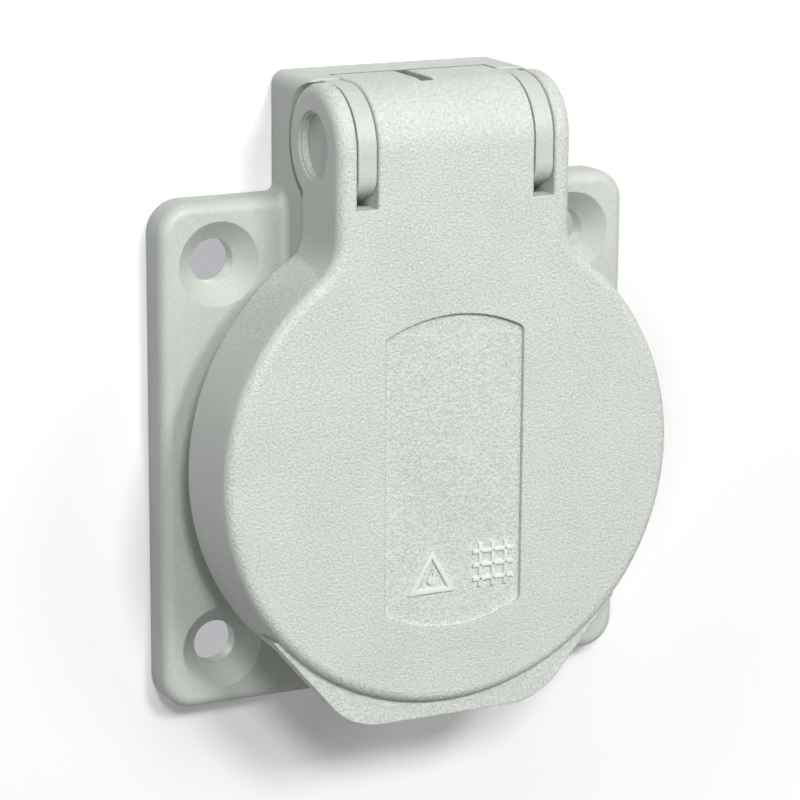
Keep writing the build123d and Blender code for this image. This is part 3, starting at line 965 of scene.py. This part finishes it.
def seen_share(tree: bpy.types.NodeTree) -> bpy.types.NodeSocket:
    """Tell the rays by which the camera sees a thing, mirrored or not, from light on its way.

    Args:
        tree: The node tree.

    Returns:
        The socket that holds 1 for such rays and 0 for the others.
    """
    path = add_node(tree, "ShaderNodeLightPath")
    seen = path.outputs["Is Camera Ray"]
    for kind in ("Is Glossy Ray", "Is Transmission Ray"):
        inputs = {0: seen, 1: path.outputs[kind]}
        seen = add_node(tree, "ShaderNodeMath", {"operation": "MAXIMUM"}, inputs).outputs["Value"]
    return seen


@dataclass(frozen=True)
class BackSheet:
    """The white sheet that the flange lies against, cut out round the barrel.

    Attributes:
        gap: How far it lies behind the flange.
        cutout_r: Radius of the cut-out.
        outer_r: Radius of the sheet.
        shade_r: Radius within which it shows shadows in full.
        fade_r: Radius past which it is plain white.
        colour: What it throws back on the socket.
        seen_colour: What the camera sees.
        glow: How much of the plain white the camera sees even in the shade.
        flange_half: Half the width of the square that the flange covers.
        flange_r: The radius of that square's corners.
        block_half: Half the width of the tongue that the hinge block covers.
        block_r: The radius of that tongue's corners.
        block_top: How high that tongue reaches.
        shade_colour: The grey that the camera sees behind them, through the fixing holes, glowing evenly as
            painted shade in place of the shadow there.
        sides: How many sides the cut-out and the outline have.
    """

    gap: float = 0.3
    cutout_r: float = 22.3
    outer_r: float = 400.0
    shade_r: float = 45.0
    fade_r: float = 75.0
    colour: str = "#AAAAAC"
    seen_colour: str = "#FAFAFB"
    glow: float = 0.15
    flange_half: float = 24.8
    flange_r: float = 3.0
    block_half: float = 11.8
    block_r: float = 1.1
    block_top: float = 36.4
    shade_colour: str = "#B7B8BB"
    sides: int = 96

    def build(self) -> None:
        """Add the sheet, with its front towards the camera."""
        mesh = bmesh.new()
        for radius in (self.cutout_r, self.outer_r):
            bmesh.ops.create_circle(mesh, segments=self.sides, radius=radius * MM)
        bmesh.ops.bridge_loops(mesh, edges=mesh.edges[:])
        bmesh.ops.transform(mesh, matrix=Matrix.Rotation(pi / 2, 4, "X"), verts=mesh.verts[:])
        bmesh.ops.translate(mesh, vec=(0, self.gap * MM, 0), verts=mesh.verts[:])
        for face in mesh.faces:
            face.normal_update()
        if sum(face.normal.y for face in mesh.faces) > 0:
            bmesh.ops.reverse_faces(mesh, faces=mesh.faces[:])
        data = bpy.data.meshes.new("pale_floor")
        mesh.to_mesh(data)
        mesh.free()
        sheet = bpy.data.objects.new("pale_floor", data)
        bpy.context.scene.collection.objects.link(sheet)
        data.materials.append(self.material())

    def material(self) -> bpy.types.Material:
        """Make the sheet's material: paper in front, a flat grey glow of painted shade behind the flange,
        and clear from the back.

        Returns:
            The material.
        """
        made = bpy.data.materials.new("matte_white_paper")
        made.use_nodes = True
        tree = made.node_tree
        tree.nodes.clear()
        seen = seen_share(tree)
        place = add_node(tree, "ShaderNodeTexCoord").outputs["Object"]
        clear = add_node(tree, "ShaderNodeBsdfTransparent")
        # Painted shade: behind the flange and the hinge block the camera sees a flat grey glow, not a
        # shadow cast by the lamps
        painted_shade_inputs = {"Color": linear(self.shade_colour), "Strength": 1.0}
        shade = add_node(tree, "ShaderNodeEmission", {}, painted_shade_inputs)
        under = self.mixed(tree, seen, clear, shade)
        front = self.mixed(tree, self.covered(tree, place), self.paper(tree, seen, place), under)
        behind = add_node(tree, "ShaderNodeNewGeometry").outputs["Backfacing"]
        sided = self.mixed(tree, behind, front, clear)
        add_node(tree, "ShaderNodeOutputMaterial", {}, {"Surface": sided.outputs[0]})
        return made

    def paper(
        self, tree: bpy.types.NodeTree, seen: bpy.types.NodeSocket, place: bpy.types.NodeSocket
    ) -> bpy.types.Node:
        """Add matte paper that keeps the shadow near the socket and fades to plain white further out.

        Args:
            tree: The node tree.
            seen: The share of rays by which the camera sees it.
            place: The sheet's coordinates.

        Returns:
            The node that shades it.
        """
        reach = add_node(tree, "ShaderNodeVectorMath", {"operation": "LENGTH"}, {0: place})
        fade_inputs = {
            "Value": reach.outputs["Value"],
            "From Min": self.shade_r * MM,
            "From Max": self.fade_r * MM,
            "To Min": self.glow,
        }
        fade = add_node(tree, "ShaderNodeMapRange", {"interpolation_type": "SMOOTHSTEP"}, fade_inputs)
        far_inputs = {0: seen, 1: fade.outputs["Result"]}
        far = add_node(tree, "ShaderNodeMath", {"operation": "MULTIPLY"}, far_inputs)
        tones = {SHARE: seen, FIRST_COLOUR: linear(self.colour), SECOND_COLOUR: linear(self.seen_colour)}
        tint = add_node(tree, "ShaderNodeMix", {"data_type": "RGBA"}, tones)
        matte = add_node(tree, "ShaderNodeBsdfDiffuse", {}, {"Color": tint.outputs[MIXED_COLOUR]})
        white = add_node(tree, "ShaderNodeEmission", {}, {"Color": PLAIN_WHITE, "Strength": 1.0})
        return self.mixed(tree, far.outputs["Value"], matte, white)

    def covered(self, tree: bpy.types.NodeTree, place: bpy.types.NodeSocket) -> bpy.types.NodeSocket:
        """Tell where the flange or the hinge block covers the sheet.

        Args:
            tree: The node tree.
            place: The sheet's coordinates.

        Returns:
            The socket that holds 1 there and 0 elsewhere.
        """
        flange = self.within(tree, place, 0.0, (self.flange_half, self.flange_half), self.flange_r)
        middle = self.block_top / 2
        block = self.within(tree, place, middle, (self.block_half, middle), self.block_r)
        either = add_node(tree, "ShaderNodeMath", {"operation": "MAXIMUM"}, {0: flange, 1: block})
        return either.outputs["Value"]

    def mixed(
        self,
        tree: bpy.types.NodeTree,
        share: bpy.types.NodeSocket,
        first: bpy.types.Node,
        second: bpy.types.Node,
    ) -> bpy.types.Node:
        """Mix the shaders of two nodes by a share of the second."""
        inputs = {0: share, 1: first.outputs[0], 2: second.outputs[0]}
        return add_node(tree, "ShaderNodeMixShader", {}, inputs)

    def within(
        self,
        tree: bpy.types.NodeTree,
        place: bpy.types.NodeSocket,
        middle_z: float,
        half: tuple[float, float],
        corner_r: float,
    ) -> bpy.types.NodeSocket:
        """Return 1 inside a rounded rectangle of the sheet and 0 outside it.

        Args:
            tree: The node tree.
            place: The sheet's coordinates.
            middle_z: Z of the rectangle's middle, which lies at X = 0.
            half: Half its width and half its height.
            corner_r: The radius of its corners.

        Returns:
            The socket that holds 1 or 0.
        """
        middle = (0.0, 0.0, middle_z * MM)
        corner = ((half[0] - corner_r) * MM, 1.0, (half[1] - corner_r) * MM)
        nothing = (0.0, 0.0, 0.0)
        steps = (("SUBTRACT", middle), ("ABSOLUTE", nothing), ("SUBTRACT", corner), ("MAXIMUM", nothing))
        for operation, other in steps:
            step = add_node(tree, "ShaderNodeVectorMath", {"operation": operation}, {0: place, 1: other})
            place = step.outputs["Vector"]
        past = add_node(tree, "ShaderNodeVectorMath", {"operation": "LENGTH"}, {0: place})
        inside = {0: past.outputs["Value"], 1: corner_r * MM}
        return add_node(tree, "ShaderNodeMath", {"operation": "LESS_THAN"}, inside).outputs["Value"]


@dataclass(frozen=True)
class Studio:
    """The camera, the lamps, the white sheet and the room.

    Attributes:
        camera_at: The camera's place in millimetres.
        aim: The way that it looks.
        roll: Degrees that it is turned about that way.
        lens: Its focal length.
        sensor: The width of its sensor.
        sees: The nearest and the furthest that it sees, in metres.
        lamps: The lamps in front of the sheet and behind it.
        sheet: The white sheet.
        room: Strength of the room's even light.
    """

    camera_at: tuple[float, float, float] = (-133.27, -273.55, 79.63)
    aim: tuple[float, float, float] = (0.42947, 0.86944, -0.2442)
    roll: float = 0.391
    lens: float = 142.339
    sensor: float = 36.0
    sees: tuple[float, float] = (0.01, 50.0)
    lamps: tuple[SoftLamp, ...] = (
        SoftLamp("key_lamp", -14, 31, 4.5, diameter=0.22),
        SoftLamp("front_lamp", 11, 33, 4.5, diameter=0.22),
        SoftLamp("side_lamp", -34, 6, 1.5, diameter=0.2),
        SoftLamp("right_lamp", 42, 20, 1.5, diameter=0.3),
        SoftLamp("top_lamp", -5, 60, 1.0, diameter=0.3),
        SoftLamp("back_lamp_left", 150, 35, 5.0),
        SoftLamp("back_lamp_right", 215, 20, 5.0),
    )
    sheet: BackSheet = BackSheet()
    room: float = 0.02

    def build(self) -> None:
        """Set up everything around the socket."""
        scene = bpy.context.scene
        scene.view_settings.view_transform = "Standard"
        self.add_camera(scene)
        for lamp in self.lamps:
            lamp.build()
        self.sheet.build()
        self.add_room(scene)

    def add_camera(self, scene: bpy.types.Scene) -> None:
        """Add the camera at the photograph's angle.

        Args:
            scene: The scene that it films.
        """
        data = bpy.data.cameras.new("camera")
        data.sensor_width = self.sensor
        data.lens = self.lens
        data.clip_start, data.clip_end = self.sees
        camera = bpy.data.objects.new("camera", data)
        scene.collection.objects.link(camera)
        look = Vector(self.aim).to_track_quat("-Z", "Y")
        camera.rotation_euler = (look @ Quaternion((0, 0, 1), radians(self.roll))).to_euler()
        camera.location = Vector(self.camera_at) * MM
        scene.camera = camera

    def add_room(self, scene: bpy.types.Scene) -> None:
        """Add a room that looks white and sheds a little even light.

        Args:
            scene: The scene that it surrounds.
        """
        world = bpy.data.worlds.new("room")
        scene.world = world
        world.use_nodes = True
        tree = world.node_tree
        tree.nodes.clear()
        inputs = {"Value": seen_share(tree), "To Min": self.room, "To Max": 1.0}
        level = add_node(tree, "ShaderNodeMapRange", {}, inputs)
        glow = {"Color": PLAIN_WHITE, "Strength": level.outputs["Result"]}
        light = add_node(tree, "ShaderNodeBackground", {}, glow)
        add_node(tree, "ShaderNodeOutputWorld", {}, {"Surface": light.outputs[0]})


def main() -> None:
    """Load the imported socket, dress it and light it."""
    logging.basicConfig(level=logging.INFO, format="%(name)s: %(message)s")
    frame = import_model()
    nodes = frame["nodes"]
    Studio().build()
    assemblies = (
        HousingMoulding(),
        LidMoulding(),
        Seals(),
        HingeSpring(),
        ContactSet(),
        RearInsulation(),
    )
    for assembly in assemblies:
        assembly.build(nodes)
        LOG.info("built %s", type(assembly).__name__)


if __name__ == "__main__":
    main()
